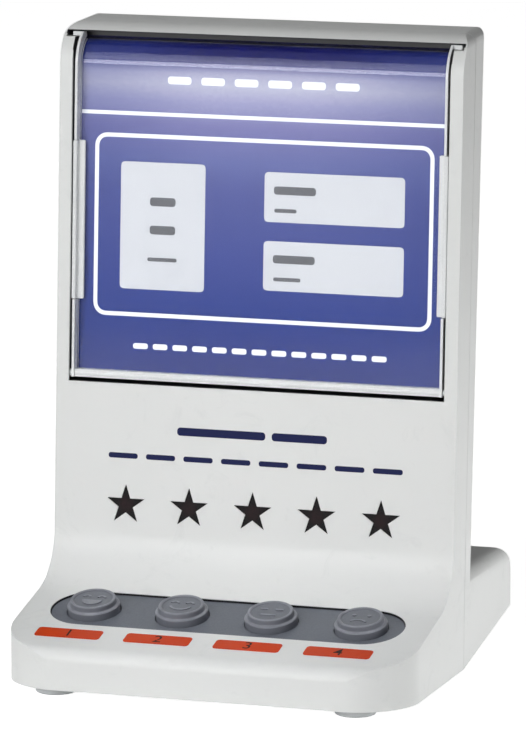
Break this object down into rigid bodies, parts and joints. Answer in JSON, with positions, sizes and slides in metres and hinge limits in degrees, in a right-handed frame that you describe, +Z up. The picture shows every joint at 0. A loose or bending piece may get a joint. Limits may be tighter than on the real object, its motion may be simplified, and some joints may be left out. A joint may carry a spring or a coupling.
{
  "type": "customer feedback button terminal",
  "caption": "Leaning white counter stand with a card holder that tips open above a row of star lamps and a sloping deck of face-marked push buttons.",
  "frame": {"origin": "middle of the overall box, on the surface that the rubber feet stand on", "axes": "+Z up, -Y out of the front towards the person who presses the buttons, +X to that person's right"},
  "size_m": [0.163, 0.153, 0.2497],
  "materials": {
    "white_shell": "satin, cool off-white moulded plastic",
    "white_holder": "gloss white moulded plastic",
    "clear_plastic": "clear polished plastic sheet",
    "blue_card": "smooth printed card, deep blue",
    "dark_lens": "dark red-black smoked plastic",
    "grey_keys": "satin mid-grey moulded plastic",
    "grey_rubber": "matt grey silicone",
    "black_plastic": "matt black moulded plastic",
    "carbon_pill": "matt black conductive rubber",
    "green_board": "green coated circuit board",
    "red_lamps": "clear red lamp plastic",
    "steel_screws": "zinc-plated steel",
    "orange_labels": "smooth orange-red film",
    "capacitor_can": "sleeved metal can",
    "cream_plastic": "matt cream moulded plastic",
    "black_speaker": "matt black frame and cone",
    "bright_steel": "bright plated steel shell",
    "flat_cable": "matt grey flat cable",
    "pale_rubber": "matt pale rubber"
  },
  "bodies": {
    "housing": {"front_shell": "white_shell", "rear_shell": "white_shell", "bottom_plate": "white_shell", "star_lens": "dark_lens", "light_baffle": "black_plastic", "lamp_board": "green_board", "star_leds": "red_lamps", "lamp_board_screws": "steel_screws", "keypad_bezel": "grey_keys", "keypad_mat": "grey_rubber", "keypad_board": "green_board", "keypad_board_screws": "steel_screws", "button_labels": "orange_labels", "main_board": "green_board", "main_chips": "black_plastic", "main_capacitors": "capacitor_can", "board_connectors": "cream_plastic", "main_board_screws": "steel_screws", "speaker": "black_speaker", "speaker_screws": "steel_screws", "data_socket": "bright_steel", "socket_board": "green_board", "lamp_cable": "flat_cable", "keypad_cable": "flat_cable", "socket_cable": "flat_cable", "speaker_cable": "flat_cable", "rear_shell_screws": "steel_screws", "bottom_plate_screws": "steel_screws", "rubber_feet": "pale_rubber"},
    "card_holder": {"card_carrier": "white_holder", "clear_sheet": "clear_plastic", "info_card": "blue_card", "left_card_clip": "white_holder", "right_card_clip": "white_holder"},
    "laugh_key": {"laugh_button": "grey_keys", "laugh_contact": "carbon_pill"},
    "smile_key": {"smile_button": "grey_keys", "smile_contact": "carbon_pill"},
    "calm_key": {"calm_button": "grey_keys", "calm_contact": "carbon_pill"},
    "frown_key": {"frown_button": "grey_keys", "frown_contact": "carbon_pill"}
  },
  "joints": [
    {"name": "card_holder_tilt", "type": "hinge", "parent": "housing", "child": "card_holder", "pos_m": [0, -0.00254, 0.11282], "axis": [1, 0, 0], "range_deg": [0, 75]},
    {"name": "laugh_button_press", "type": "slide", "parent": "housing", "child": "laugh_key", "axis": [0, 0.2368, -0.9715], "range_m": [0, 0.0016], "stiffness_N_per_m": 600},
    {"name": "smile_button_press", "type": "slide", "parent": "housing", "child": "smile_key", "axis": [0, 0.2368, -0.9715], "range_m": [0, 0.0016], "stiffness_N_per_m": 600},
    {"name": "calm_button_press", "type": "slide", "parent": "housing", "child": "calm_key", "axis": [0, 0.2368, -0.9715], "range_m": [0, 0.0016], "stiffness_N_per_m": 600},
    {"name": "frown_button_press", "type": "slide", "parent": "housing", "child": "frown_key", "axis": [0, 0.2368, -0.9715], "range_m": [0, 0.0016], "stiffness_N_per_m": 600}
  ]
}
